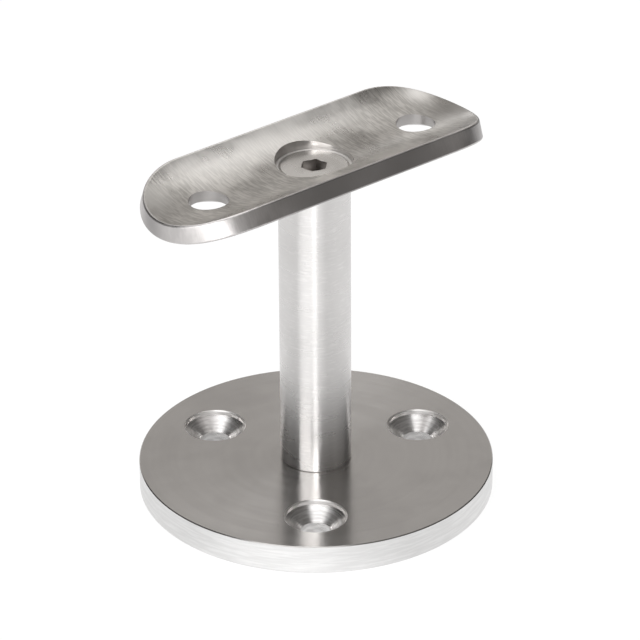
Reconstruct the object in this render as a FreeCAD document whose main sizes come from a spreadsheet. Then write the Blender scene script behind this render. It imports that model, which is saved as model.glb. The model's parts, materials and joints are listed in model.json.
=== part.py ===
"""Handrail bracket: a round flange, a turned stem and a bent saddle plate, held by two socket screws.

+Z is up and the origin is the middle of the flange's underside. X runs along the handrail.
Every size is a cell of one sheet, in millimetres and degrees, and every piece is tied to it.
"""

import FreeCAD, Part
import math
import os

import Sketcher

# Driving dimensions
SIZES = {
    "flange_diameter": 60.0,
    "flange_thickness": 5.0,
    "flange_edge_break": 0.15,
    "bolt_count": 3,
    "bolt_circle": 40.2,
    "bolt_turn": 110.0,
    "bolt_hole": 5.2,
    "bolt_head_seat": 10.2,
    "bolt_seat_angle": 100.0,
    "bolt_head_sink": 0.8,
    "bolt_rim_break": 0.2,
    "stem_diameter": 12.0,
    "stem_foot_break": 0.15,
    "trough_height": 60.4,
    "trough_radius": 22.4,
    "saddle_length": 65.0,
    "saddle_blank_width": 25.0,
    "saddle_thickness": 3.2,
    "saddle_top_round": 0.4,
    "saddle_under_round": 0.3,
    "rail_hole": 6.6,
    "rail_hole_spacing": 44.0,
    "rail_hole_land": 1.6,
    "rail_sink_angle": 120.0,
    "pocket_diameter": 13.0,
    "pocket_depth": 0.75,
    "screw_thread": 6.0,
    "screw_length": 16.0,
    "screw_head": 11.4,
    "screw_head_land": 0.3,
    "screw_head_round": 0.2,
    "screw_end_break": 0.6,
    "socket_across_flats": 4.0,
    "socket_depth": 2.4,
    "socket_mouth": 4.2,
    "socket_mouth_angle": 120.0,
    "socket_turn": 43.0,
    "seat_margin": 0.15,
    "base_screw_sink": 0.25,
    "thread_clearance": 0.05,
    "screw_clearance": 0.2,
    "tapped_depth": 15.0,
    "tapped_mouth": 0.3,
    "drill_tip_angle": 118.0,
    "overcut": 1.0,
}

# Points that the curve round each end of the saddle passes through
END_CURVE_POINTS = 7

# How far off a size or a place may be and still count as the one asked for
SAME_PLACE = 1e-3

HEXAGON_SIDES = 6

doc = FreeCAD.newDocument("handrail_bracket")
sheet = doc.addObject("Spreadsheet::Sheet", "sizes")
for row, (alias, value) in enumerate(SIZES.items(), start=1):
    sheet.set(f"A{row}", alias)
    sheet.set(f"B{row}", str(value))
    sheet.setAlias(f"B{row}", alias)
doc.recompute()


def size(alias):
    """The value of one cell of the sheet."""
    return float(getattr(sheet, alias))


def bind(target, path, formula):
    """Ties a property to a formula in which a word with a $ is a cell of the sheet."""
    target.setExpression(path, formula.replace("$", "sizes."))


def new_body(label):
    """An empty body that becomes one physical piece."""
    body = doc.addObject("PartDesign::Body", label)
    body.Label = label
    return body


def origin_feature(body, role):
    """The plane or axis of a body's own origin with the given role."""
    return next(item for item in body.Origin.OriginFeatures if item.Role == role)


def new_sketch(body, name, role):
    """A sketch that lies on one of the body's origin planes."""
    sketch = body.newObject("Sketcher::SketchObject", name)
    sketch.AttachmentSupport = (origin_feature(body, role), [""])
    sketch.MapMode = "FlatFace"
    return sketch


def tie(sketch, constraint, formula):
    """Adds a constraint to a sketch and ties its value to a formula."""
    index = sketch.addConstraint(constraint)
    name = f"size_{index}"
    sketch.renameConstraint(index, name)
    bind(sketch, f"Constraints.{name}", formula)


def place_point(sketch, index, vertex, x_formula, y_formula):
    """Ties a point of a sketch to its two coordinates, or to an axis where one of them is 0."""
    if x_formula == "0" and y_formula == "0":
        sketch.addConstraint(Sketcher.Constraint("Coincident", index, vertex, -1, 1))
        return
    for kind, axis, formula in (("DistanceX", -2, x_formula), ("DistanceY", -1, y_formula)):
        if formula == "0":
            sketch.addConstraint(Sketcher.Constraint("PointOnObject", index, vertex, axis))
        else:
            tie(sketch, Sketcher.Constraint(kind, -1, 1, index, vertex, 1), formula)


def add_circle(sketch, radius_formula, x_formula="0", y_formula="0"):
    """A circle whose radius and middle are tied to formulas."""
    start = Part.Circle(FreeCAD.Vector(1, 1, 0), FreeCAD.Vector(0, 0, 1), 1)
    index = sketch.addGeometry(start, False)
    tie(sketch, Sketcher.Constraint("Radius", index, 1), radius_formula)
    place_point(sketch, index, 3, x_formula, y_formula)


def add_outline(sketch, corners):
    """A closed outline of straight edges, each corner tied to its two formulas."""
    count = len(corners)
    turns = [2 * math.pi * k / count for k in range(count)]
    start = [FreeCAD.Vector(math.cos(turn), math.sin(turn), 0) for turn in turns]
    edges = []
    for k in range(count):
        line = Part.LineSegment(start[k], start[(k + 1) % count])
        edges.append(sketch.addGeometry(line, False))
    for k in range(count):
        sketch.addConstraint(Sketcher.Constraint("Coincident", edges[k - 1], 2, edges[k], 1))
    for edge, (x_formula, y_formula) in zip(edges, corners):
        place_point(sketch, edge, 1, x_formula, y_formula)


def turn_outline(body, name, kind, corners, offset=None):
    """A Revolution or a Groove about the sketch's upright axis, from half of its outline."""
    sketch = new_sketch(body, f"{name}_outline", "XZ_Plane")
    if offset:
        bind(sketch, "AttachmentOffset.Base.x", offset)
    add_outline(sketch, corners)
    feature = body.newObject(f"PartDesign::{kind}", name)
    feature.Profile = sketch
    feature.ReferenceAxis = (sketch, ["V_Axis"])
    feature.Angle = 360
    doc.recompute()
    return feature


def round_edges(body, name, kind, pick, formula):
    """A Fillet or Chamfer on the edges of the present shape that the pick function accepts."""
    base = body.Tip
    names = [f"Edge{k}" for k, edge in enumerate(base.Shape.Edges, start=1) if pick(edge)]
    feature = body.newObject(f"PartDesign::{kind}", name)
    feature.Base = (base, names)
    bind(feature, "Radius" if kind == "Fillet" else "Size", formula)
    doc.recompute()


def is_ring(edge, radius, height):
    """Whether an edge is a whole circle of this radius at this height."""
    if not isinstance(edge.Curve, Part.Circle) or not edge.isClosed():
        return False
    same_radius = math.isclose(edge.Curve.Radius, radius, abs_tol=SAME_PLACE)
    return same_radius and math.isclose(edge.Curve.Center.z, height, abs_tol=SAME_PLACE)


def build_flange():
    """Turned disc with a ring of countersunk holes, and a seat for the base screw beneath."""
    body = new_body("base_flange")
    disc = new_sketch(body, "flange_disc", "XY_Plane")
    add_circle(disc, "$flange_diameter / 2")
    plate = body.newObject("PartDesign::Pad", "flange_plate")
    plate.Profile = disc
    bind(plate, "Length", "$flange_thickness")
    doc.recompute()

    radius = size("flange_diameter") / 2
    heights = (0.0, size("flange_thickness"))
    round_edges(
        body,
        "flange_edges",
        "Chamfer",
        lambda edge: any(is_ring(edge, radius, height) for height in heights),
        "$flange_edge_break",
    )

    sunk = "$flange_thickness - $bolt_head_sink"
    cone = "($bolt_head_seat - $bolt_hole) / 2 / tan($bolt_seat_angle / 2)"
    bolt_hole = turn_outline(
        body,
        "bolt_seat",
        "Groove",
        [
            ("0", "-$overcut"),
            ("$bolt_hole / 2", "-$overcut"),
            ("$bolt_hole / 2", f"{sunk} - {cone}"),
            ("$bolt_head_seat / 2", sunk),
            ("$bolt_head_seat / 2", "$flange_thickness - $bolt_rim_break"),
            ("$bolt_head_seat / 2 + $bolt_rim_break + $overcut", "$flange_thickness + $overcut"),
            ("0", "$flange_thickness + $overcut"),
        ],
        offset="$bolt_circle / 2",
    )
    ring = body.newObject("PartDesign::PolarPattern", "bolt_ring")
    ring.Originals = [bolt_hole]
    ring.Axis = (origin_feature(body, "Z_Axis"), [""])
    ring.Angle = 360
    bind(ring, "Occurrences", "$bolt_count")
    body.Tip = ring
    doc.recompute()

    seat_radius = "$screw_head / 2 + $seat_margin"
    shank_radius = "$screw_thread / 2 + $screw_clearance"
    seat_top = "$base_screw_sink + $screw_head_land - $seat_margin"
    turn_outline(
        body,
        "base_screw_seat",
        "Groove",
        [
            ("0", "-$overcut"),
            (seat_radius, "-$overcut"),
            (seat_radius, seat_top),
            (shank_radius, f"{seat_top} + {seat_radius} - ({shank_radius})"),
            (shank_radius, "$flange_thickness + $screw_head"),
            ("0", "$flange_thickness + $screw_head"),
        ],
    )
    bind(body, "Placement.Rotation.Angle", "$bolt_turn * 1 deg")
    return body


def build_stem():
    """Turned bar, milled hollow at the top to take the saddle's round underside."""
    body = new_body("stem")
    under = "($trough_radius + $saddle_thickness)"
    middle = "($trough_height - $saddle_thickness - $flange_thickness)"
    bar = new_sketch(body, "stem_bar", "XY_Plane")
    add_circle(bar, "$stem_diameter / 2")
    pad = body.newObject("PartDesign::Pad", "stem_length")
    pad.Profile = bar
    bind(pad, "Length", f"{middle} + {under} - sqrt({under}^2 - ($stem_diameter / 2)^2)")
    doc.recompute()

    radius = size("stem_diameter") / 2
    round_edges(body, "stem_foot", "Chamfer", lambda edge: is_ring(edge, radius, 0.0), "$stem_foot_break")

    hollow = new_sketch(body, "saddle_rest", "YZ_Plane")
    add_circle(hollow, under, y_formula=f"{middle} + {under}")
    rest = body.newObject("PartDesign::Pocket", "saddle_hollow")
    rest.Profile = hollow
    rest.Midplane = True
    bind(rest, "Length", "2 * $stem_diameter")
    doc.recompute()

    thread = "$screw_thread / 2"
    tip = f"{thread} / tan($drill_tip_angle / 2)"
    head_below_flange = "$base_screw_sink + $screw_head_land + $screw_head / 2 - $flange_thickness"
    foot_mouth = f"max($tapped_mouth; {head_below_flange} - {thread} + $screw_clearance)"
    turn_outline(
        body,
        "foot_thread",
        "Groove",
        [
            ("0", "-$overcut"),
            (f"{thread} + {foot_mouth} + $overcut", "-$overcut"),
            (thread, foot_mouth),
            (thread, "$tapped_depth"),
            ("0", f"$tapped_depth + {tip}"),
        ],
    )
    head_below_saddle = "$pocket_depth + $seat_margin + $screw_head / 2 - $saddle_thickness"
    top_mouth = f"max($tapped_mouth; {head_below_saddle} - {thread} + $screw_clearance)"
    turn_outline(
        body,
        "top_thread",
        "Groove",
        [
            ("0", f"{middle} + $overcut"),
            (f"{thread} + {top_mouth} + $overcut", f"{middle} + $overcut"),
            (thread, f"{middle} - {top_mouth}"),
            (thread, f"{middle} - $tapped_depth"),
            ("0", f"{middle} - $tapped_depth - {tip}"),
        ],
    )
    bind(body, "Placement.Base.z", "$flange_thickness")
    return body


def lying_cylinder(name, radius_formula):
    """A cylinder along the handrail, about the trough's own axis."""
    cylinder = doc.addObject("Part::Cylinder", name)
    cylinder.Placement = FreeCAD.Placement(
        FreeCAD.Vector(0, 0, 0), FreeCAD.Rotation(FreeCAD.Vector(0, 1, 0), 90)
    )
    bind(cylinder, "Radius", radius_formula)
    bind(cylinder, "Height", "$saddle_length + 2 * $overcut")
    bind(cylinder, "Placement.Base.x", "-$saddle_length / 2 - $overcut")
    bind(cylinder, "Placement.Base.z", "$trough_radius")
    return cylinder


def radial_walls():
    """The block inside the blank's edges, which are square to the bent sheet.

    A flat blank with round ends, bent about the trough's axis, keeps its length along the axis
    and turns its width into an angle. Its edges all point at that axis.
    """
    radius = size("trough_radius")
    half_width = size("saddle_blank_width") / 2
    straight = size("saddle_length") / 2 - half_width
    half_angle = half_width / (radius + size("saddle_thickness") / 2)

    def outline(depth):
        """The blank's edge in the level plane at this depth below the trough's axis."""
        level = radius - depth
        side = depth * math.tan(half_angle)

        def end(way):
            turns = [math.pi * (k / (END_CURVE_POINTS - 1) - 0.5) for k in range(END_CURVE_POINTS)]
            points = []
            for turn in turns:
                along = way * (straight + half_width * math.cos(turn))
                across = way * depth * math.tan(half_angle * math.sin(turn))
                points.append(FreeCAD.Vector(along, across, level))
            leaving = FreeCAD.Vector(way * half_width, 0, 0)
            curve = Part.BSplineCurve()
            curve.interpolate(
                Points=points, Parameters=turns, InitialTangent=leaving, FinalTangent=-leaving, Scale=False
            )
            return curve.toShape()

        corners = [
            FreeCAD.Vector(x * straight, y * side, level) for x, y in ((1, 1), (-1, 1), (-1, -1), (1, -1))
        ]
        far_side = Part.makeLine(corners[0], corners[1])
        near_side = Part.makeLine(corners[2], corners[3])
        return Part.Wire([end(1), far_side, end(-1), near_side])

    lowest = radius + size("saddle_thickness") + size("overcut")
    highest = radius * math.cos(half_angle) - size("overcut")
    return Part.makeLoft([outline(lowest), outline(highest)], True, True)


def build_saddle():
    """Obround plate bent to a trough for the handrail, with two rail holes and a screw pocket."""
    under_curve = lying_cylinder("under_curve", "$trough_radius + $saddle_thickness")
    trough_curve = lying_cylinder("trough_curve", "$trough_radius")
    sheet_curve = doc.addObject("Part::Cut", "sheet_curve")
    sheet_curve.Base = under_curve
    sheet_curve.Tool = trough_curve
    walls = doc.addObject("Part::Feature", "blank_walls")
    walls.Shape = radial_walls()
    blank = doc.addObject("Part::Common", "bent_blank")
    blank.Base = sheet_curve
    blank.Tool = walls
    doc.recompute()

    body = new_body("saddle_plate")
    body.BaseFeature = blank
    doc.recompute()

    radius = size("trough_radius")
    thickness = size("saddle_thickness")

    def lies_at(edge, distance):
        """Whether an edge lies all along at this distance from the trough's axis."""
        points = edge.discretize(END_CURVE_POINTS)
        reaches = [math.hypot(point.y, point.z - radius) for point in points]
        return all(math.isclose(reach, distance, abs_tol=SAME_PLACE) for reach in reaches)

    round_edges(
        body, "under_edge", "Fillet", lambda edge: lies_at(edge, radius + thickness), "$saddle_under_round"
    )
    round_edges(body, "trough_edge", "Fillet", lambda edge: lies_at(edge, radius), "$saddle_top_round")

    sink_depth = "($saddle_thickness - $rail_hole_land + $overcut)"
    sink_reach = f"({sink_depth} * tan($rail_sink_angle / 2))"
    rail_hole = turn_outline(
        body,
        "rail_screw_hole",
        "Groove",
        [
            ("0", "$trough_radius"),
            ("$rail_hole / 2", "$trough_radius"),
            ("$rail_hole / 2", "-$rail_hole_land"),
            (f"$rail_hole / 2 + {sink_reach}", f"-$rail_hole_land - {sink_depth}"),
            ("0", f"-$rail_hole_land - {sink_depth}"),
        ],
        offset="$rail_hole_spacing / 2",
    )
    pair = body.newObject("PartDesign::Mirrored", "rail_hole_pair")
    pair.Originals = [rail_hole]
    pair.MirrorPlane = (origin_feature(body, "YZ_Plane"), [""])
    body.Tip = pair
    doc.recompute()

    seat_radius = "$screw_head / 2 + $seat_margin"
    shank_radius = "$screw_thread / 2 + $screw_clearance"
    deep = "-$saddle_thickness - $screw_head"
    turn_outline(
        body,
        "screw_pocket",
        "Groove",
        [
            ("0", deep),
            (shank_radius, deep),
            (shank_radius, f"{shank_radius} - ({seat_radius}) - $pocket_depth"),
            (seat_radius, "-$pocket_depth"),
            ("$pocket_diameter / 2", "-$pocket_depth"),
            ("$pocket_diameter / 2", "$trough_radius"),
            ("0", "$trough_radius"),
        ],
    )
    bind(body, "Placement.Base.z", "$trough_height")
    return body


def build_screw(label):
    """Countersunk socket screw, its head's face at the local origin and its shank pointing down."""
    body = new_body(label)
    shank = "($screw_thread / 2 - $thread_clearance)"
    turn_outline(
        body,
        f"{label}_form",
        "Revolution",
        [
            ("0", "0"),
            ("$screw_head / 2", "0"),
            ("$screw_head / 2", "-$screw_head_land"),
            (shank, f"{shank} - $screw_head / 2 - $screw_head_land"),
            (shank, "$screw_end_break - $screw_length"),
            (f"{shank} - $screw_end_break", "-$screw_length"),
            ("0", "-$screw_length"),
        ],
    )
    radius = size("screw_head") / 2
    round_edges(
        body, f"{label}_rim", "Fillet", lambda edge: is_ring(edge, radius, 0.0), "$screw_head_round"
    )

    step = 360 // HEXAGON_SIDES
    corner = f"$socket_across_flats / 2 / cos({step / 2})"
    corners = []
    for angle in range(0, 360, step):
        across = "0" if angle % 180 == 0 else f"{corner} * sin({angle})"
        corners.append((f"{corner} * cos({angle})", across))
    hexagon = new_sketch(body, f"{label}_hexagon", "XY_Plane")
    add_outline(hexagon, corners)
    socket = body.newObject("PartDesign::Pocket", f"{label}_socket")
    socket.Profile = hexagon
    bind(socket, "Length", "$socket_depth")
    doc.recompute()

    tip_radius = "$socket_across_flats / 2"
    turn_outline(
        body,
        f"{label}_socket_tip",
        "Groove",
        [
            ("0", "-$socket_depth / 2"),
            (tip_radius, "-$socket_depth / 2"),
            (tip_radius, "-$socket_depth"),
            ("0", f"-$socket_depth - {tip_radius} / tan($drill_tip_angle / 2)"),
        ],
    )
    slope = "tan($socket_mouth_angle / 2)"
    turn_outline(
        body,
        f"{label}_socket_mouth",
        "Groove",
        [
            ("0", "$overcut"),
            (f"$socket_mouth / 2 + $overcut * {slope}", "$overcut"),
            ("0", f"-$socket_mouth / 2 / {slope}"),
        ],
    )
    return body


def build_saddle_screw():
    """The screw that clamps the saddle to the stem, in the middle of the trough."""
    body = build_screw("saddle_screw")
    face = "$trough_height - $pocket_depth - $seat_margin + $screw_head_land"
    bind(body, "Placement.Base.z", face)
    bind(body, "Placement.Rotation.Angle", "$socket_turn * 1 deg")
    return body


def build_base_screw():
    """The screw that pulls the stem onto the flange from beneath."""
    body = build_screw("base_screw")
    body.Placement = FreeCAD.Placement(
        FreeCAD.Vector(0, 0, 0), FreeCAD.Rotation(FreeCAD.Vector(1, 0, 0), 180)
    )
    bind(body, "Placement.Base.z", "$base_screw_sink")
    return body


pieces = [build_flange(), build_stem(), build_saddle(), build_saddle_screw(), build_base_screw()]
doc.recompute()

for item in doc.Objects:
    if "Invalid" in item.State or "Error" in item.State:
        raise RuntimeError(f"{item.Name} failed: {item.State}")
for piece in pieces:
    shape = piece.Shape
    if shape.isNull() or not shape.isValid() or len(shape.Solids) != 1:
        raise RuntimeError(f"{piece.Label} is not one valid solid")

os.makedirs("parts", exist_ok=True)
for piece in pieces:
    piece.Shape.exportStep(f"parts/{piece.Label}.step")
    print(piece.Label, round(piece.Shape.Volume, 1), "mm3")
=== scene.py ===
"""Handrail bracket: the finish of its five steel pieces, with its studio and its camera.

Metres throughout, +Z up, X along the handrail, the origin at the middle of the flange's underside.
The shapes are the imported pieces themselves, so everything here is surface, light and view.
"""

import json
import logging
import math
from collections.abc import Callable, Mapping
from dataclasses import dataclass, replace
from enum import Enum

import bpy
from mathutils import Matrix, Vector

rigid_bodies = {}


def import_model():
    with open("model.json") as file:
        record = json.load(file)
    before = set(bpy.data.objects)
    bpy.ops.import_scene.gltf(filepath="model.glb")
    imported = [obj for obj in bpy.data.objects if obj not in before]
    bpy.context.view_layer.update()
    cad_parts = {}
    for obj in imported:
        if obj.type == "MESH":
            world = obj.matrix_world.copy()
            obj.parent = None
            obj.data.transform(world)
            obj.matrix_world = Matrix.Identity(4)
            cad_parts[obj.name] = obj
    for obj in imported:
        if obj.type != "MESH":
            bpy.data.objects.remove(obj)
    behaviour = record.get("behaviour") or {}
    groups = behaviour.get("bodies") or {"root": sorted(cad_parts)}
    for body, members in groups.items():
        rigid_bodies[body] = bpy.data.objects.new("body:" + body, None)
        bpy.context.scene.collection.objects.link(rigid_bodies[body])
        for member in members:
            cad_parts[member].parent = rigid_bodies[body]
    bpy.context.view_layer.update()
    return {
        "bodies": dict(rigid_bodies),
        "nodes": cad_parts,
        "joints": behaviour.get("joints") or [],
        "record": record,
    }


MM = 0.001
QUARTER_TURN = 0.25
UPRIGHT = (0.0, 0.0, 1.0)
ALONG_RAIL = (1.0, 0.0, 0.0)

# Height of the line that the saddle is bent about, along the middle of the rail
BEND_HEIGHT = 82.8 * MM

# How far from level or from square to the trough a face may be and still count as such
LEVEL_FACE = 0.98
INWARD_FACE = 0.9

# Smooth noise keeps near its middle, so a mask is eased from and to these to get its full range
NOISE_MIDDLE = 0.5
SWELL_LOW = 0.35
SWELL_HIGH = 0.65

# How close turned lines lie up an upright wall, next to 1 along a level face. Cones have them too
RISE_SHARE = 0.7

Colour = tuple[float, float, float]
SocketValue = bpy.types.NodeSocket | float | int | tuple[float, ...]

# Painted light in the steel's colour: the bright and pale ones are painted highlights on the
# trough, the darker ones painted shade on the trough's ends and on its near wall
PAINTED_HIGHLIGHT_STEEL: Colour = (0.97, 0.95, 0.92)
PAINTED_SOFT_HIGHLIGHT_STEEL: Colour = (0.68, 0.66, 0.63)
PAINTED_SHADE_STEEL: Colour = (0.38, 0.367, 0.35)
WALL_SHADE_STEEL: Colour = (0.41, 0.395, 0.39)

log = logging.getLogger("handrail_bracket")


class SocketKind(Enum):
    """The kinds of socket that the shared effects take and give."""

    VALUE = "NodeSocketFloat"
    VECTOR = "NodeSocketVector"


class NodeBoard:
    """Places nodes in one tree and links them, so that a formula reads as a few calls."""

    def __init__(self, tree: bpy.types.NodeTree) -> None:
        """Takes over a tree and empties it.

        Args:
            tree: The tree that the nodes go into.
        """
        self.tree = tree
        tree.nodes.clear()

    def put(
        self, kind: str, inputs: Mapping[str | int, SocketValue] | None = None, **settings: object
    ) -> bpy.types.Node:
        """Adds one node.

        Args:
            kind: The node's type name.
            inputs: Values or sockets for the inputs, by name or number.
            settings: Properties of the node itself.

        Returns:
            The new node.
        """
        node = self.tree.nodes.new(kind)
        for name, setting in settings.items():
            setattr(node, name, setting)
        for key, value in (inputs or {}).items():
            self.feed(node.inputs[key], value)
        return node

    def feed(self, socket: bpy.types.NodeSocket, value: SocketValue) -> None:
        """Links a socket to an input, or sets the input to a constant.

        Args:
            socket: The input to feed.
            value: The socket that it comes from, or the constant.
        """
        if isinstance(value, bpy.types.NodeSocket):
            self.tree.links.new(value, socket)
        else:
            socket.default_value = value

    def math(
        self,
        operation: str,
        first: SocketValue,
        second: SocketValue = 0.0,
        third: SocketValue = 0.0,
    ) -> bpy.types.NodeSocket:
        """A Math node's result.

        Args:
            operation: The node's operation.
            first: Its first value.
            second: Its second value, if it takes one.
            third: Its third value, if it takes one.

        Returns:
            The result's socket.
        """
        node = self.put("ShaderNodeMath", {0: first, 1: second, 2: third}, operation=operation)
        return node.outputs[0]

    def vector_math(
        self, operation: str, first: SocketValue, second: SocketValue = (0.0, 0.0, 0.0)
    ) -> bpy.types.Node:
        """A Vector Math node.

        Args:
            operation: The node's operation.
            first: Its first vector.
            second: Its second vector, if it takes one.

        Returns:
            The node, whose Vector or Value output is the result.
        """
        return self.put("ShaderNodeVectorMath", {0: first, 1: second}, operation=operation)

    def remap(
        self,
        value: SocketValue,
        low: SocketValue,
        high: SocketValue,
        to_low: SocketValue = 0.0,
        to_high: SocketValue = 1.0,
    ) -> bpy.types.NodeSocket:
        """A value eased from one range to another and held at its ends.

        Args:
            value: The value to map.
            low: Where the range starts.
            high: Where it ends.
            to_low: The result at the start.
            to_high: The result at the end.

        Returns:
            The result's socket.
        """
        start = {"From Min": low, "To Min": to_low}
        end = {"From Max": high, "To Max": to_high}
        node = self.put(
            "ShaderNodeMapRange",
            {"Value": value, **start, **end},
            interpolation_type="SMOOTHSTEP",
        )
        return node.outputs["Result"]

    def noise(
        self, vector: SocketValue, scale: SocketValue, detail: float = 2.0, roughness: float = 0.5
    ) -> bpy.types.NodeSocket:
        """Smooth noise between 0 and 1.

        Args:
            vector: Where it is read.
            scale: How many swells there are to one unit.
            detail: How many finer layers lie on it.
            roughness: How strong the finer layers are.

        Returns:
            The noise value's socket.
        """
        node = self.put(
            "ShaderNodeTexNoise",
            {"Vector": vector, "Scale": scale, "Detail": detail, "Roughness": roughness},
        )
        return node.outputs["Fac"]

    def blend_colours(
        self, share: SocketValue, first: SocketValue, second: SocketValue
    ) -> bpy.types.NodeSocket:
        """A colour between two.

        Args:
            share: 0 for the first, 1 for the second.
            first: The first colour.
            second: The second colour.

        Returns:
            The mixed colour's socket.
        """
        node = self.put("ShaderNodeMix", {"Factor": share}, data_type="RGBA")
        self.feed(node.inputs["A"], opaque(first))
        self.feed(node.inputs["B"], opaque(second))
        return node.outputs["Result"]


def opaque(colour: SocketValue) -> SocketValue:
    """A colour with full alpha, or the socket that it was given."""
    return (*colour, 1.0) if isinstance(colour, tuple) and len(colour) == 3 else colour


@dataclass(frozen=True)
class SharedEffect:
    """A shader node group that several finishes use, built once under its own name."""

    name: str
    inputs: tuple[tuple[str, SocketKind, object], ...]
    outputs: tuple[tuple[str, SocketKind], ...]
    draw: Callable[[NodeBoard, bpy.types.Node, bpy.types.Node], None]

    def tree(self) -> bpy.types.NodeTree:
        """The group's tree, built the first time that it is asked for.

        Returns:
            The tree.
        """
        known = bpy.data.node_groups.get(self.name)
        if known:
            return known
        tree = bpy.data.node_groups.new(self.name, "ShaderNodeTree")
        board = NodeBoard(tree)
        for name, kind, start in self.inputs:
            socket = tree.interface.new_socket(name, in_out="INPUT", socket_type=kind.value)
            if start is not None:
                socket.default_value = start
        for name, kind in self.outputs:
            tree.interface.new_socket(name, in_out="OUTPUT", socket_type=kind.value)
        self.draw(board, board.put("NodeGroupInput"), board.put("NodeGroupOutput"))
        return tree

    def place(self, board: NodeBoard, inputs: Mapping[str, SocketValue]) -> bpy.types.Node:
        """Puts the effect into a material.

        Args:
            board: The material's board.
            inputs: The values or sockets of this use.

        Returns:
            The group node.
        """
        node = board.put("ShaderNodeGroup", node_tree=self.tree())
        for name, value in inputs.items():
            board.feed(node.inputs[name], value)
        return node


@dataclass(frozen=True)
class LineLayers:
    """How fine lines and wide ones lie over each other."""

    fine_detail: float
    wide_scale: float
    fine_share: float
    fine_roughness: float = 0.6

    def lay(
        self, board: NodeBoard, point: bpy.types.NodeSocket, result: bpy.types.Node
    ) -> bpy.types.NodeSocket:
        """Draws both layers, and gives out their height and their streaks.

        Args:
            board: The group's board.
            point: Where the lines are read, at one unit to a fine line.
            result: The group's output node.

        Returns:
            The fine layer, which the scratches come from.
        """
        fine = board.noise(point, 1.0, self.fine_detail, self.fine_roughness)
        wide = board.noise(point, self.wide_scale)
        height = board.math("MULTIPLY", wide, 1.0 - self.fine_share)
        height = board.math("MULTIPLY_ADD", fine, self.fine_share, height)
        board.feed(result.inputs["Height"], height)
        board.feed(result.inputs["Streak"], board.remap(wide, SWELL_LOW, SWELL_HIGH))
        return fine


LINE_OUTPUTS = tuple((name, SocketKind.VALUE) for name in ("Height", "Streak", "Scratch"))
TURNED_LAYERS = LineLayers(fine_detail=3.0, wide_scale=0.11, fine_share=0.6)
BRUSHED_LAYERS = LineLayers(fine_detail=1.0, wide_scale=0.23, fine_share=0.7)

# Swells of the brushing's lean to one metre, and where its fine lines start and end as scratches
DRIFTS_PER_METRE = 45.0
BRUSH_SCRATCH_FROM = 0.38
BRUSH_SCRATCH_TO = 0.64


def level_offset(
    board: NodeBoard, given: bpy.types.Node
) -> tuple[bpy.types.NodeSocket, bpy.types.NodeSocket, bpy.types.NodeSocket]:
    """How far a point lies from an upright axis.

    Args:
        board: The group's board.
        given: The group's input node, with the point and a point of the axis.

    Returns:
        The whole offset, its level part, and the length of that part.
    """
    to_point = board.vector_math("SUBTRACT", given.outputs["Position"], given.outputs["Axis point"])
    offset = to_point.outputs["Vector"]
    flat = board.vector_math("MULTIPLY", offset, (1.0, 1.0, 0.0)).outputs["Vector"]
    return offset, flat, board.vector_math("LENGTH", flat).outputs["Value"]


def draw_turned_lines(board: NodeBoard, given: bpy.types.Node, result: bpy.types.Node) -> None:
    """Fine grooves that run round an upright axis, as a lathe tool leaves them.

    Args:
        board: The group's board.
        given: The group's input node.
        result: The group's output node.
    """
    offset, flat, reach = level_offset(board, given)
    heading = board.vector_math("NORMALIZE", flat).outputs["Vector"]
    heading_parts = board.put("ShaderNodeSeparateXYZ", {0: heading})
    rise = board.put("ShaderNodeSeparateXYZ", {0: offset}).outputs[2]
    profile = board.math("MULTIPLY_ADD", rise, RISE_SHARE, reach)
    profile = board.math("MULTIPLY", profile, given.outputs["Lines per metre"])
    point = board.put(
        "ShaderNodeCombineXYZ",
        {
            0: profile,
            1: board.math("MULTIPLY", heading_parts.outputs[0], given.outputs["Breaks per turn"]),
            2: board.math("MULTIPLY", heading_parts.outputs[1], given.outputs["Breaks per turn"]),
        },
    )
    fine = TURNED_LAYERS.lay(board, point.outputs[0], result)
    scratch = board.remap(fine, given.outputs["Scratch from"], given.outputs["Scratch to"])
    board.feed(result.inputs["Scratch"], scratch)


TURNED_LINES = SharedEffect(
    name="turned_lines",
    inputs=(
        ("Position", SocketKind.VECTOR, None),
        ("Axis point", SocketKind.VECTOR, None),
        ("Lines per metre", SocketKind.VALUE, 8000.0),
        ("Breaks per turn", SocketKind.VALUE, 3.0),
        ("Scratch from", SocketKind.VALUE, 0.62),
        ("Scratch to", SocketKind.VALUE, 0.75),
    ),
    outputs=LINE_OUTPUTS,
    draw=draw_turned_lines,
)


def draw_brushed_lines(board: NodeBoard, given: bpy.types.Node, result: bpy.types.Node) -> None:
    """Short straight scratches along Y, in drifts that cross at a slight angle.

    Args:
        board: The group's board.
        given: The group's input node.
        result: The group's output node.
    """
    drift = board.noise(given.outputs["Position"], DRIFTS_PER_METRE, 1.0)
    lean = board.math("SUBTRACT", drift, NOISE_MIDDLE)
    lean = board.math("MULTIPLY", lean, given.outputs["Lean"])
    parts = board.put("ShaderNodeSeparateXYZ", {0: given.outputs["Position"]})
    sheared = board.math("ADD", parts.outputs[0], board.math("MULTIPLY", parts.outputs[1], lean))
    point = board.put(
        "ShaderNodeCombineXYZ",
        {
            0: board.math("MULTIPLY", sheared, given.outputs["Lines per metre"]),
            1: board.math("MULTIPLY", parts.outputs[1], given.outputs["Breaks per metre"]),
            2: board.math("MULTIPLY", parts.outputs[2], given.outputs["Breaks per metre"]),
        },
    )
    fine = BRUSHED_LAYERS.lay(board, point.outputs[0], result)
    board.feed(result.inputs["Scratch"], board.remap(fine, BRUSH_SCRATCH_FROM, BRUSH_SCRATCH_TO))


BRUSHED_LINES = SharedEffect(
    name="brushed_lines",
    inputs=(
        ("Position", SocketKind.VECTOR, None),
        ("Lines per metre", SocketKind.VALUE, 3600.0),
        ("Breaks per metre", SocketKind.VALUE, 420.0),
        ("Lean", SocketKind.VALUE, 0.2),
    ),
    outputs=LINE_OUTPUTS,
    draw=draw_brushed_lines,
)


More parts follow.
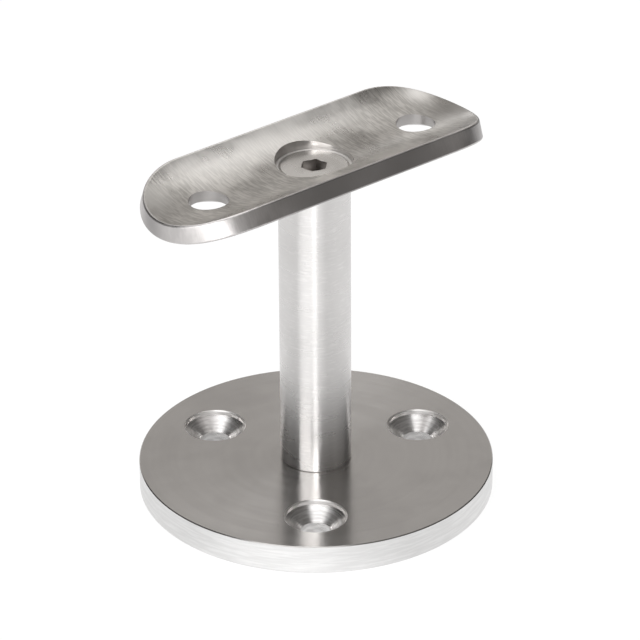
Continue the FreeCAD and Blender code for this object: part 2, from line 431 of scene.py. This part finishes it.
def draw_cloudy_film(board: NodeBoard, given: bpy.types.Node, result: bpy.types.Node) -> None:
    """Soft uneven patches, as tumbling and handling leave on bare steel.

    Args:
        board: The group's board.
        given: The group's input node.
        result: The group's output node.
    """
    broad = board.noise(
        given.outputs["Position"], given.outputs["Patches per metre"], detail=3.0, roughness=0.55
    )
    board.feed(result.inputs["Mask"], board.remap(broad, SWELL_LOW, SWELL_HIGH))


CLOUDY_FILM = SharedEffect(
    name="cloudy_film",
    inputs=(("Position", SocketKind.VECTOR, None), ("Patches per metre", SocketKind.VALUE, 150.0)),
    outputs=(("Mask", SocketKind.VALUE),),
    draw=draw_cloudy_film,
)


def draw_painted_light_ring(board: NodeBoard, given: bpy.types.Node, result: bpy.types.Node) -> None:
    """A soft ring about an upright axis: the mask for painted highlights on edges and for patches
    of painted highlight and painted shade.

    Args:
        board: The group's board.
        given: The group's input node.
        result: The group's output node.
    """
    reach = level_offset(board, given)[2]
    away = board.math("ABSOLUTE", board.math("SUBTRACT", reach, given.outputs["Radius"]))
    share = board.math("DIVIDE", away, given.outputs["Width"])
    board.feed(result.inputs["Mask"], board.remap(share, 0.0, 1.0, 1.0, 0.0))


PAINTED_LIGHT_RING = SharedEffect(
    name="painted_light_ring",
    inputs=(
        ("Position", SocketKind.VECTOR, None),
        ("Axis point", SocketKind.VECTOR, None),
        ("Radius", SocketKind.VALUE, 0.005),
        ("Width", SocketKind.VALUE, 0.0005),
    ),
    outputs=(("Mask", SocketKind.VALUE),),
    draw=draw_painted_light_ring,
)


def new_material(name: str) -> tuple[bpy.types.Material, NodeBoard]:
    """An empty node material and its board.

    Args:
        name: The material's name.

    Returns:
        The material and a board on its tree.
    """
    material = bpy.data.materials.new(name)
    material.use_nodes = True
    return material, NodeBoard(material.node_tree)


def place_on_piece(board: NodeBoard) -> bpy.types.NodeSocket:
    """The surface point in the piece's own frame, in metres."""
    return board.put("ShaderNodeTexCoord").outputs["Object"]


def lines_about(
    board: NodeBoard, point: SocketValue, axis_point: tuple[float, ...], axis: tuple[float, ...]
) -> bpy.types.NodeSocket:
    """The direction round an axis at each point, which is how the steel's fine lines run.

    Args:
        board: The material's board.
        point: The surface point.
        axis_point: Any point of the axis.
        axis: The axis's direction.

    Returns:
        The direction's socket.
    """
    reach = board.vector_math("SUBTRACT", point, axis_point).outputs["Vector"]
    return board.vector_math("CROSS_PRODUCT", axis, reach).outputs["Vector"]


@dataclass(frozen=True)
class Grain:
    """How a finish spreads light: along its lines little, across them much."""

    roughness: float
    roughness_change: float
    anisotropic: float
    relief: float
    depth: float = 0.02 * MM

    def metal(
        self,
        board: NodeBoard,
        colour: SocketValue,
        unevenness: SocketValue,
        height: SocketValue,
        lines: SocketValue,
    ) -> None:
        """Ends a material with its metal shader and its fine relief.

        Args:
            board: The material's board.
            colour: The metal's colour.
            unevenness: From 0 where it is smoothest to 1 where it is roughest.
            height: The relief, from 0 to 1.
            lines: The direction that its lines run in.
        """
        bump = board.put(
            "ShaderNodeBump", {"Strength": self.relief, "Distance": self.depth, "Height": height}
        )
        rough = board.math("MULTIPLY_ADD", unevenness, self.roughness_change, self.roughness)
        shader = board.put(
            "ShaderNodeBsdfPrincipled",
            {
                "Base Color": opaque(colour),
                "Metallic": 1.0,
                "Roughness": rough,
                "Anisotropic": self.anisotropic,
                "Anisotropic Rotation": QUARTER_TURN,
                "Normal": bump.outputs["Normal"],
                "Tangent": lines,
            },
        )
        board.put("ShaderNodeOutputMaterial", {"Surface": shader.outputs["BSDF"]})


@dataclass(frozen=True)
class PaintedGlintRim:
    """A ring painted pale as a highlight on an edge, with rougher steel under it."""

    radius: float
    width: float
    colour: Colour = (0.93, 0.91, 0.89)
    dullness: float = 3.0


@dataclass(frozen=True)
class TurnedSteel:
    """Steel off a lathe or a drill, its fine lines running round an upright axis."""

    name: str
    light: Colour
    dark: Colour
    grain: Grain
    lines_per_metre: float
    breaks_per_turn: float
    streak_share: float = 0.3
    film_share: float = 0.3
    patches_per_metre: float = 90.0
    axis_point: tuple[float, float, float] = (0.0, 0.0, 0.0)
    rim: PaintedGlintRim | None = None
    scratch_from: float = 0.62
    scratch_to: float = 0.75

    def material(self) -> bpy.types.Material:
        """Builds the material.

        Returns:
            The material.
        """
        material, board = new_material(self.name)
        point = place_on_piece(board)
        lines = TURNED_LINES.place(
            board,
            {
                "Position": point,
                "Axis point": self.axis_point,
                "Lines per metre": self.lines_per_metre,
                "Breaks per turn": self.breaks_per_turn,
                "Scratch from": self.scratch_from,
                "Scratch to": self.scratch_to,
            },
        )
        film = CLOUDY_FILM.place(
            board, {"Position": point, "Patches per metre": self.patches_per_metre}
        )
        scratch_share = 1.0 - self.film_share - self.streak_share
        shade = board.math("MULTIPLY", film.outputs["Mask"], self.film_share)
        shade = board.math("MULTIPLY_ADD", lines.outputs["Streak"], self.streak_share, shade)
        shade = board.math("MULTIPLY_ADD", lines.outputs["Scratch"], scratch_share, shade)
        colour = board.blend_colours(shade, self.dark, self.light)
        unevenness = lines.outputs["Streak"]
        # The rim ring is a painted highlight on the edge, over rougher steel
        if self.rim:
            rim = self.rim
            ring = {"Axis point": self.axis_point, "Radius": rim.radius, "Width": rim.width}
            mask = PAINTED_LIGHT_RING.place(board, {"Position": point, **ring}).outputs["Mask"]
            colour = board.blend_colours(mask, colour, rim.colour)
            unevenness = board.math("MULTIPLY_ADD", mask, rim.dullness, unevenness)
        around = lines_about(board, point, self.axis_point, UPRIGHT)
        self.grain.metal(board, colour, unevenness, lines.outputs["Height"], around)
        return material


@dataclass(frozen=True)
class PaintedLightPatch:
    """A soft round patch of painted highlight or painted shade, about an upright axis."""

    centre: tuple[float, float, float]
    reach: float
    colour: Colour

    def over(
        self, board: NodeBoard, point: SocketValue, colour: SocketValue
    ) -> bpy.types.NodeSocket:
        """Lays the patch over a colour, as a ring of painted light with no radius.

        Args:
            board: The material's board.
            point: The surface point.
            colour: The colour under the patch.

        Returns:
            The colour with the patch in it.
        """
        ring = {"Axis point": self.centre, "Radius": 0.0, "Width": self.reach}
        mask = PAINTED_LIGHT_RING.place(board, {"Position": point, **ring}).outputs["Mask"]
        return board.blend_colours(mask, colour, self.colour)


@dataclass(frozen=True)
class BrushedSteel:
    """Steel sheet brushed across its length, clouded by handling and bent to a trough."""

    name: str
    light: Colour
    dark: Colour
    grain: Grain
    patches_per_metre: float = 150.0
    scratch_share: float = 0.5
    painted_light: tuple[PaintedLightPatch, ...] = ()

    def material(self) -> bpy.types.Material:
        """Builds the material.

        Returns:
            The material.
        """
        material, board = new_material(self.name)
        point = place_on_piece(board)
        lines = BRUSHED_LINES.place(board, {"Position": point})
        film = CLOUDY_FILM.place(
            board, {"Position": point, "Patches per metre": self.patches_per_metre}
        )
        shade = board.math(
            "MULTIPLY_ADD",
            lines.outputs["Scratch"],
            self.scratch_share,
            board.math("MULTIPLY", film.outputs["Mask"], 1.0 - self.scratch_share),
        )
        colour = board.blend_colours(shade, self.dark, self.light)
        # Patches of painted highlight and painted shade laid over the steel's colour
        for patch in self.painted_light:
            colour = patch.over(board, point, colour)
        across = lines_about(board, point, (0.0, 0.0, BEND_HEIGHT), ALONG_RAIL)
        self.grain.metal(board, colour, film.outputs["Mask"], lines.outputs["Height"], across)
        return material


class Piece:
    """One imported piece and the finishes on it."""

    def __init__(self, frame: Mapping[str, object], node: str) -> None:
        """Looks the piece up in the frame.

        Args:
            node: The piece's name.
        """
        self.node = node
        self.object: bpy.types.Object = frame["nodes"][node]

    def coat(self, material: bpy.types.Material) -> None:
        """Gives the whole piece one material."""
        self.object.data.materials.clear()
        self.object.data.materials.append(material)

    def coat_part(
        self, material: bpy.types.Material, belongs: Callable[[bpy.types.MeshPolygon], bool]
    ) -> None:
        """Gives some of the piece's faces another material.

        Args:
            material: Their material.
            belongs: Says whether a face gets it.
        """
        self.object.data.materials.append(material)
        index = len(self.object.data.materials) - 1
        for face in self.object.data.polygons:
            if belongs(face):
                face.material_index = index

    def report(self) -> None:
        """Logs the piece's finishes."""
        names = ", ".join(material.name for material in self.object.data.materials)
        log.info("%s: %s", self.node, names)


@dataclass
class Flange:
    """The round flange: a satin top, a bright turned rim and three countersunk holes."""

    radius: float = 30.0 * MM
    rim_margin: float = 0.05 * MM
    bolt_circle: float = 40.2 * MM
    bolt_turn: float = 110.0
    bolt_count: int = 3
    bolt_reach: float = 5.4 * MM
    top_steel: TurnedSteel = TurnedSteel(
        name="flange_steel",
        light=(0.635, 0.62, 0.605),
        dark=(0.555, 0.541, 0.528),
        grain=Grain(roughness=0.21, roughness_change=0.03, anisotropic=0.68, relief=0.02),
        lines_per_metre=9000.0,
        breaks_per_turn=2.5,
        streak_share=0.15,
        film_share=0.6,
    )
    rim_steel: TurnedSteel = TurnedSteel(
        name="flange_rim_steel",
        light=(0.88, 0.875, 0.87),
        dark=(0.73, 0.725, 0.72),
        grain=Grain(roughness=0.28, roughness_change=0.06, anisotropic=0.7, relief=0.35),
        lines_per_metre=3800.0,
        breaks_per_turn=6.0,
        streak_share=0.3,
        film_share=0.2,
        scratch_from=0.4,
        scratch_to=0.65,
    )
    hole_steel: TurnedSteel = TurnedSteel(
        name="flange_hole_steel",
        light=(1.0, 0.985, 0.975),
        dark=(0.68, 0.665, 0.655),
        grain=Grain(
            roughness=0.24, roughness_change=0.08, anisotropic=0.7, relief=0.7, depth=0.03 * MM
        ),
        lines_per_metre=2500.0,
        breaks_per_turn=1.2,
        streak_share=0.1,
        film_share=0.2,
        scratch_from=0.4,
        scratch_to=0.6,
        # Painted highlight round the countersink's top edge
        rim=PaintedGlintRim(radius=5.2 * MM, width=0.16 * MM),
    )

    def hole_axes(self) -> list[tuple[float, float, float]]:
        """A point on each bolt hole's axis.

        Returns:
            The points, on the underside.
        """
        step = 360.0 / self.bolt_count
        turns = [math.radians(self.bolt_turn + step * number) for number in range(self.bolt_count)]
        reach = self.bolt_circle / 2
        return [(reach * math.cos(turn), reach * math.sin(turn), 0.0) for turn in turns]

    def dress(self, frame: Mapping[str, object]) -> None:
        """Puts the finishes on the flange.
        """
        piece = Piece(frame, "base_flange")
        piece.coat(self.top_steel.material())
        edge = self.radius - self.rim_margin
        piece.coat_part(self.rim_steel.material(), lambda face: math.hypot(*face.center[:2]) > edge)
        for number, axis in enumerate(self.hole_axes(), start=1):
            name = f"{self.hole_steel.name}_{number}"
            steel = replace(self.hole_steel, name=name, axis_point=axis)
            piece.coat_part(steel.material(), self.in_hole(axis))
        piece.report()

    def in_hole(self, axis: tuple[float, float, float]) -> Callable[[bpy.types.MeshPolygon], bool]:
        """A test for the faces of one bolt hole.

        Args:
            axis: A point on the hole's axis.

        Returns:
            The test.
        """

        def belongs(face: bpy.types.MeshPolygon) -> bool:
            """Whether a face is a wall, a cone or a rim of the hole."""
            near = math.hypot(face.center.x - axis[0], face.center.y - axis[1]) < self.bolt_reach
            return near and abs(face.normal.z) < LEVEL_FACE

        return belongs


@dataclass
class Stem:
    """The turned bar between the flange and the saddle."""

    steel: TurnedSteel = TurnedSteel(
        name="stem_steel",
        light=(0.89, 0.873, 0.862),
        dark=(0.76, 0.745, 0.735),
        grain=Grain(roughness=0.27, roughness_change=0.01, anisotropic=0.93, relief=0.01),
        lines_per_metre=4200.0,
        breaks_per_turn=3.0,
        streak_share=0.1,
        film_share=0.35,
        scratch_from=0.5,
        scratch_to=0.72,
    )

    def dress(self, frame: Mapping[str, object]) -> None:
        """Puts the finish on the stem.
        """
        piece = Piece(frame, "stem")
        piece.coat(self.steel.material())
        piece.report()


@dataclass
class Saddle:
    """The bent plate: brushed in the trough, smoother on its edges, bored bright in its holes."""

    rail_hole_spacing: float = 44.0 * MM
    hole_reach: float = 3.4 * MM
    pocket_reach: float = 6.6 * MM
    trough_steel: BrushedSteel = BrushedSteel(
        name="saddle_steel",
        light=(0.66, 0.638, 0.608),
        dark=(0.36, 0.347, 0.328),
        grain=Grain(
            roughness=0.27, roughness_change=0.12, anisotropic=0.4, relief=0.5, depth=0.05 * MM
        ),
        painted_light=(
            # Painted shade: darker at the trough's two ends
            PaintedLightPatch((-31.0 * MM, 6.0 * MM, 0.0), reach=9.0 * MM, colour=PAINTED_SHADE_STEEL),
            PaintedLightPatch((32.0 * MM, -2.0 * MM, 0.0), reach=11.0 * MM, colour=PAINTED_SHADE_STEEL),
            # Painted highlights: lighter along the far rim left of the middle, at a spot near the
            # right end, and right of the pocket on the near side
            PaintedLightPatch((-15.0 * MM, 15.0 * MM, 0.0), reach=15.0 * MM, colour=PAINTED_HIGHLIGHT_STEEL),
            PaintedLightPatch((-3.0 * MM, 15.0 * MM, 0.0), reach=15.5 * MM, colour=PAINTED_HIGHLIGHT_STEEL),
            PaintedLightPatch((9.0 * MM, 15.0 * MM, 0.0), reach=14.5 * MM, colour=PAINTED_HIGHLIGHT_STEEL),
            PaintedLightPatch((28.5 * MM, 7.5 * MM, 0.0), reach=4.0 * MM, colour=PAINTED_HIGHLIGHT_STEEL),
            PaintedLightPatch((9.0 * MM, -10.0 * MM, 0.0), reach=9.0 * MM, colour=PAINTED_SOFT_HIGHLIGHT_STEEL),
        ),
    )
    edge_steel: BrushedSteel = BrushedSteel(
        name="saddle_edge_steel",
        light=(0.73, 0.703, 0.693),
        dark=(0.63, 0.608, 0.598),
        grain=Grain(roughness=0.36, roughness_change=0.06, anisotropic=0.0, relief=0.08),
        patches_per_metre=300.0,
        painted_light=(
            # Painted shade: the near wall and its two tips darker
            PaintedLightPatch((-7.0 * MM, -12.5 * MM, 0.0), reach=17.0 * MM, colour=WALL_SHADE_STEEL),
            PaintedLightPatch((9.0 * MM, -12.5 * MM, 0.0), reach=17.0 * MM, colour=WALL_SHADE_STEEL),
            PaintedLightPatch((-32.5 * MM, 2.0 * MM, 0.0), reach=6.0 * MM, colour=WALL_SHADE_STEEL),
            PaintedLightPatch((31.0 * MM, -5.0 * MM, 0.0), reach=8.0 * MM, colour=WALL_SHADE_STEEL),
        ),
    )
    bore_steel: TurnedSteel = TurnedSteel(
        name="saddle_bore_steel",
        light=(0.62, 0.60, 0.59),
        dark=(0.40, 0.385, 0.375),
        grain=Grain(roughness=0.3, roughness_change=0.08, anisotropic=0.6, relief=0.2),
        lines_per_metre=5000.0,
        breaks_per_turn=1.5,
    )
    pocket_steel: TurnedSteel = TurnedSteel(
        name="saddle_pocket_steel",
        light=(0.84, 0.82, 0.80),
        dark=(0.56, 0.54, 0.525),
        grain=Grain(roughness=0.24, roughness_change=0.08, anisotropic=0.6, relief=0.3),
        lines_per_metre=5000.0,
        breaks_per_turn=1.5,
        # Painted highlight round the pocket's rim
        rim=PaintedGlintRim(radius=6.1 * MM, width=0.5 * MM, dullness=5.0),
    )

    def dress(self, frame: Mapping[str, object]) -> None:
        """Puts the finishes on the saddle.
        """
        piece = Piece(frame, "saddle_plate")
        piece.coat(self.trough_steel.material())
        piece.coat_part(self.edge_steel.material(), self.outside_trough)
        half = self.rail_hole_spacing / 2
        bores = (
            ("left", self.bore_steel, -half, self.hole_reach),
            ("right", self.bore_steel, half, self.hole_reach),
            ("pocket", self.pocket_steel, 0.0, self.pocket_reach),
        )
        for place, base, along, reach in bores:
            steel = replace(base, name=f"{base.name}_{place}", axis_point=(along, 0.0, 0.0))
            piece.coat_part(steel.material(), self.in_bore(along, reach))
        piece.report()

    def outside_trough(self, face: bpy.types.MeshPolygon) -> bool:
        """Whether a face doesn't look into the trough."""
        outward = Vector((0.0, face.center.y, face.center.z - BEND_HEIGHT)).normalized()
        return face.normal.dot(-outward) < INWARD_FACE

    def in_bore(self, along: float, reach: float) -> Callable[[bpy.types.MeshPolygon], bool]:
        """A test for the faces of one hole or of the pocket.

        Args:
            along: The place of its axis along the rail.
            reach: Its radius and a little more.

        Returns:
            The test.
        """

        def belongs(face: bpy.types.MeshPolygon) -> bool:
            """Whether a face lies inside the bore."""
            return math.hypot(face.center.x - along, face.center.y) < reach

        return belongs


@dataclass
class SocketScrews:
    """The two countersunk socket screws."""

    steel: TurnedSteel = TurnedSteel(
        name="screw_steel",
        light=(0.97, 0.95, 0.925),
        dark=(0.74, 0.722, 0.70),
        grain=Grain(roughness=0.22, roughness_change=0.06, anisotropic=0.3, relief=0.12),
        lines_per_metre=4000.0,
        breaks_per_turn=6.0,
    )
    # Painted shade: the hex socket's walls and floor darker than the head
    socket_shade: TurnedSteel = TurnedSteel(
        name="screw_socket_shade",
        light=(0.66, 0.63, 0.61),
        dark=(0.42, 0.40, 0.385),
        grain=Grain(roughness=0.3, roughness_change=0.1, anisotropic=0.0, relief=0.1),
        lines_per_metre=3000.0,
        breaks_per_turn=3.0,
    )
    socket_reach: float = 2.45 * MM

    def dress(self, frame: Mapping[str, object]) -> None:
        """Puts the finishes on both screws.
        """
        steel = self.steel.material()
        socket_shade = self.socket_shade.material()
        for node in ("saddle_screw", "base_screw"):
            piece = Piece(frame, node)
            piece.coat(steel)
            piece.coat_part(socket_shade, self.in_socket)
            piece.report()

    def in_socket(self, face: bpy.types.MeshPolygon) -> bool:
        """Whether a face belongs to a socket's walls or floor."""
        return math.hypot(*face.center[:2]) < self.socket_reach


@dataclass(frozen=True)
class ViewOfPhoto:
    """The photograph's camera, as an orbit about the bracket."""

    azimuth: float = -39.72
    elevation: float = 28.47
    roll: float = -0.339
    distance: float = 683.4 * MM
    aim_right: float = 0.81 * MM
    aim_height: float = 30.97 * MM
    focal_pixels: float = 4096.4
    image_pixels: int = 640
    sensor: float = 36.0
    nearest: float = 10.0 * MM

    def turned(self, offset: float) -> Vector:
        """The level direction from the bracket towards a place beside the camera.

        Args:
            offset: Degrees to the camera's right, as seen from the bracket's front.

        Returns:
            A unit vector.
        """
        angle = math.radians(self.azimuth + offset)
        return Vector((math.sin(angle), -math.cos(angle), 0.0))

    def place(self, offset: float, elevation: float, distance: float) -> Vector:
        """A point on a sphere about the aim.

        Args:
            offset: Degrees to the camera's right.
            elevation: Degrees above the level.
            distance: Metres from the aim.

        Returns:
            The point.
        """
        return self.aim() + self.heading(offset, elevation) * distance

    def heading(self, offset: float, elevation: float) -> Vector:
        """The direction from the bracket towards a place in the room.

        Args:
            offset: Degrees to the camera's right.
            elevation: Degrees above the level.

        Returns:
            A unit vector.
        """
        angle = math.radians(elevation)
        return self.turned(offset) * math.cos(angle) + Vector((0, 0, math.sin(angle)))

    def aim(self) -> Vector:
        """The point that the camera looks at."""
        return self.turned(90) * self.aim_right + Vector((0, 0, self.aim_height))

    def build(self) -> None:
        """Makes the camera and sets it as the scene's own."""
        data = bpy.data.cameras.new("view_of_photo")
        data.sensor_width = self.sensor
        data.lens = self.sensor * self.focal_pixels / self.image_pixels
        data.clip_start = self.nearest
        camera = bpy.data.objects.new("view_of_photo", data)
        bpy.context.scene.collection.objects.link(camera)
        place = self.place(0.0, self.elevation, self.distance)
        forward = (self.aim() - place).normalized()
        level = self.turned(90)
        upright = level.cross(forward)
        roll = math.radians(self.roll)
        right = level * math.cos(roll) + upright * math.sin(roll)
        up = right.cross(forward)
        turn = Matrix((right, up, -forward)).transposed().to_4x4()
        camera.matrix_world = Matrix.Translation(place) @ turn
        bpy.context.scene.camera = camera


@dataclass(frozen=True)
class SoftLamp:
    """A rectangular soft light that looks at the bracket."""

    name: str
    offset: float
    elevation: float
    distance: float
    width: float
    height: float
    power: float

    def build(self, view: ViewOfPhoto) -> None:
        """Hangs the lamp.

        Args:
            view: The camera that the lamp's place is measured from.
        """
        data = bpy.data.lights.new(self.name, "AREA")
        data.shape = "RECTANGLE"
        data.size = self.width
        data.size_y = self.height
        data.energy = self.power
        lamp = bpy.data.objects.new(self.name, data)
        bpy.context.scene.collection.objects.link(lamp)
        place = view.place(self.offset, self.elevation, self.distance)
        lamp.location = place
        lamp.rotation_euler = (view.aim() - place).to_track_quat("-Z", "Y").to_euler()


@dataclass(frozen=True)
class RoomGlow:
    """A soft bright part of the room, round as the bracket sees it."""

    offset: float
    elevation: float
    inner: float
    outer: float
    strength: float

    def draw(
        self, board: NodeBoard, view: ViewOfPhoto, heading: SocketValue
    ) -> bpy.types.NodeSocket:
        """Adds the glow to the room.

        Args:
            board: The room's board.
            view: The camera that its place is measured from.
            heading: The direction that is looked in.

        Returns:
            Its brightness in that direction.
        """
        towards = tuple(view.heading(self.offset, self.elevation))
        nearness = board.vector_math("DOT_PRODUCT", heading, towards).outputs["Value"]
        edge, core = math.cos(math.radians(self.outer)), math.cos(math.radians(self.inner))
        return board.remap(nearness, edge, core, 0.0, self.strength)


@dataclass(frozen=True)
class Studio:
    """A white table in a dim room, with soft lamps in front and a pale ceiling."""

    view: ViewOfPhoto
    lamps: tuple[SoftLamp, ...] = (
        SoftLamp("wide_lamp", -22.0, 18.0, 0.9, 0.96, 0.62, 4.4),
        SoftLamp("narrow_lamp", 0.0, 18.0, 0.88, 0.2, 0.6, 1.05),
        SoftLamp("rear_lamp", 177.0, 10.0, 0.9, 0.08, 0.08, 0.12),
        SoftLamp("ceiling_lamp", -90.0, 81.0, 0.7, 1.1, 0.66, 3.3),
    )
    glows: tuple[RoomGlow, ...] = (
        RoomGlow(180.0, 25.0, 15.0, 46.0, 0.45),
        RoomGlow(-152.0, 4.0, 10.0, 26.0, 0.45),
        RoomGlow(137.0, 60.0, 8.0, 34.0, 0.12),
        RoomGlow(42.0, 34.0, 10.0, 32.0, 0.16),
        RoomGlow(79.0, 13.0, 10.0, 30.0, 0.2),
        RoomGlow(-98.0, 9.0, 10.0, 27.0, 0.13),
    )
    room_level: float = 0.042
    room_tint: Colour = (1.0, 0.965, 0.93)
    table_reach: float = 3.0
    table_drop: float = 0.05 * MM
    lit_reach: float = 0.16
    dim_reach: float = 0.45
    table_near: float = 0.93
    table_far: float = 0.42
    front_turn: float = -7.0
    front_from: float = 0.72
    front_to: float = 0.96
    front_gain: float = 0.18
    shade_reach: float = 29.5 * MM
    mirrored_shade: float = 0.42
    seen_white: float = 0.94
    seen_shade: float = 0.6
    seen_paint: Colour = (0.12, 0.12, 0.12)
    lit_paint: Colour = (0.8, 0.8, 0.8)

    def build(self) -> None:
        """Lays the table, sets the room and hangs the lamps."""
        self.build_table()
        self.build_room()
        for lamp in self.lamps:
            lamp.build(self.view)

    def build_table(self) -> None:
        """Lays a large flat sheet under the bracket, white to the camera and in the steel."""
        reach = self.table_reach
        corners = [(x * reach, y * reach, 0.0) for x, y in ((-1, -1), (1, -1), (1, 1), (-1, 1))]
        mesh = bpy.data.meshes.new("table")
        mesh.from_pydata(corners, [], [(0, 1, 2, 3)])
        table = bpy.data.objects.new("table", mesh)
        bpy.context.scene.collection.objects.link(table)
        table.location.z = -self.table_drop
        mesh.materials.append(self.table_material())

    def table_material(self) -> bpy.types.Material:
        """Paint that keeps the shadow, with the table's own light for the camera and for gloss.

        The steel mirrors a table that is bright near the bracket, brighter still in front of it,
        and dim where the flange shades it.

        Returns:
            The material.
        """
        material, board = new_material("table_white")
        place = board.put("ShaderNodeNewGeometry").outputs["Position"]
        away = board.vector_math("LENGTH", place).outputs["Value"]
        shaded = board.math("LESS_THAN", away, self.shade_reach)
        pool = board.remap(away, self.lit_reach, self.dim_reach, self.table_near, self.table_far)
        outward = board.vector_math("NORMALIZE", place).outputs["Vector"]
        front = tuple(self.view.turned(self.front_turn))
        frontward = board.vector_math("DOT_PRODUCT", outward, front).outputs["Value"]
        gain = board.remap(frontward, self.front_from, self.front_to, 0.0, self.front_gain)
        pool = board.math("ADD", pool, gain)
        pool = board.math("MULTIPLY_ADD", shaded, -self.mirrored_shade, pool)
        mirrored = board.put("ShaderNodeEmission", {"Strength": pool})
        whiteness = board.math("MULTIPLY_ADD", shaded, -self.seen_shade, self.seen_white)
        white = board.put("ShaderNodeEmission", {"Strength": whiteness})
        catcher = board.put("ShaderNodeBsdfDiffuse", {"Color": opaque(self.seen_paint)})
        seen = board.put("ShaderNodeAddShader", {0: white.outputs[0], 1: catcher.outputs[0]})
        paint = board.put("ShaderNodeBsdfDiffuse", {"Color": opaque(self.lit_paint)})
        path = board.put("ShaderNodeLightPath")
        for_camera = board.put(
            "ShaderNodeMixShader",
            {0: path.outputs["Is Camera Ray"], 1: paint.outputs[0], 2: seen.outputs[0]},
        )
        for_gloss = board.put(
            "ShaderNodeMixShader",
            {0: path.outputs["Is Glossy Ray"], 1: for_camera.outputs[0], 2: mirrored.outputs[0]},
        )
        board.put("ShaderNodeOutputMaterial", {"Surface": for_gloss.outputs[0]})
        return material

    def build_room(self) -> None:
        """Makes the room an even dim level with its glows, and white to the camera."""
        world = bpy.data.worlds.new("studio_room")
        bpy.context.scene.world = world
        world.use_nodes = True
        board = NodeBoard(world.node_tree)
        heading = board.put("ShaderNodeTexCoord").outputs["Generated"]
        brightness: SocketValue = self.room_level
        for glow in self.glows:
            brightness = board.math("ADD", glow.draw(board, self.view, heading), brightness)
        path = board.put("ShaderNodeLightPath")
        tint = opaque(self.room_tint)
        room = board.put("ShaderNodeBackground", {"Color": tint, "Strength": brightness})
        white = board.put("ShaderNodeBackground", {"Strength": 1.0})
        mixed = board.put(
            "ShaderNodeMixShader",
            {0: path.outputs["Is Camera Ray"], 1: room.outputs[0], 2: white.outputs[0]},
        )
        board.put("ShaderNodeOutputWorld", {"Surface": mixed.outputs[0]})


def main() -> None:
    """Loads the frame, dresses the pieces, and sets the studio and the camera."""
    logging.basicConfig(level=logging.INFO, format="%(name)s: %(message)s")
    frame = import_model()
    for assembly in (Flange(), Stem(), Saddle(), SocketScrews()):
        assembly.dress(frame)
    view = ViewOfPhoto()
    Studio(view).build()
    view.build()
    bpy.context.scene.view_settings.view_transform = "Standard"


if __name__ == "__main__":
    main()
